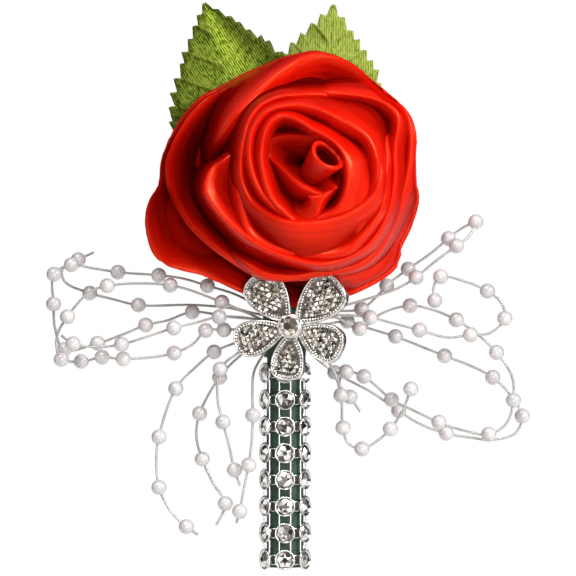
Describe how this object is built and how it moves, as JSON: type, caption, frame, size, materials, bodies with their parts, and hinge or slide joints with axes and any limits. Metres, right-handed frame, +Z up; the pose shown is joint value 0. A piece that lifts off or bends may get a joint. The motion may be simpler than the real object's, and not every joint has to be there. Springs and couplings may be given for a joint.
{
  "type": "flower brooch",
  "caption": "Red satin ribbon rose brooch with fabric leaves, a rhinestone stem, looping pearl strands, a small jewelled metal flower and a hinged safety pin.",
  "frame": {"origin": "middle of the pin bar's rear face, which lies against the cloth", "axes": "+Z up along the stem as worn, +X to the viewer's right, -Y towards the viewer, +Y into the cloth"},
  "size_m": [0.0922, 0.0333, 0.1075],
  "materials": {
    "pin_steel": "bright nickel plating",
    "felt": "matt felt",
    "wire": "drawn wire",
    "green_tape": "dull dark green tape",
    "net_silver": "bright metallised facets",
    "leaf_deep": "woven, starched",
    "leaf_pale": "woven, starched",
    "red_satin": "satin",
    "alloy": "silver plated casting",
    "crystal": "foil backed facets",
    "glue": "set hot glue",
    "pearl": "pearl lustre on clear line"
  },
  "bodies": {
    "brooch": {"pin_bar": "pin_steel", "hinge_bracket": "pin_steel", "hinge_rivet": "pin_steel", "catch_housing": "pin_steel", "felt_backing": "felt", "stem_wire": "wire", "stem_tape": "green_tape", "rhinestone_sleeve": "net_silver", "neck_binding": "green_tape", "leaf_left": "leaf_deep", "leaf_right": "leaf_pale", "rose_ribbon": "red_satin", "flower_frame": "alloy", "stone_bed_1": "crystal", "stone_bed_2": "crystal", "stone_bed_3": "crystal", "stone_bed_4": "crystal", "stone_bed_5": "crystal", "centre_setting": "alloy", "centre_stone": "crystal", "glue_pad": "glue", "pearl_strand_left_1": "pearl", "pearl_strand_left_2": "pearl", "pearl_strand_left_3": "pearl", "pearl_strand_left_4": "pearl", "pearl_strand_left_5": "pearl", "pearl_strand_left_6": "pearl", "pearl_strand_left_7": "pearl", "pearl_strand_left_8": "pearl", "pearl_strand_right_1": "pearl", "pearl_strand_right_2": "pearl", "pearl_strand_right_3": "pearl", "pearl_strand_right_4": "pearl", "pearl_strand_right_5": "pearl"},
    "needle": {"pin_needle": "pin_steel"},
    "catch": {"catch_sleeve": "pin_steel"}
  },
  "joints": [
    {"name": "pin_hinge", "type": "hinge", "parent": "brooch", "child": "needle", "pos_m": [-0.0132, 0.00505, 0], "axis": [0, 0, 1], "range_deg": [0, 80]},
    {"name": "catch_turn", "type": "hinge", "parent": "brooch", "child": "catch", "pos_m": [0.0126, 0.00505, 0], "axis": [1, 0, 0], "range_deg": [0, 115]}
  ]
}
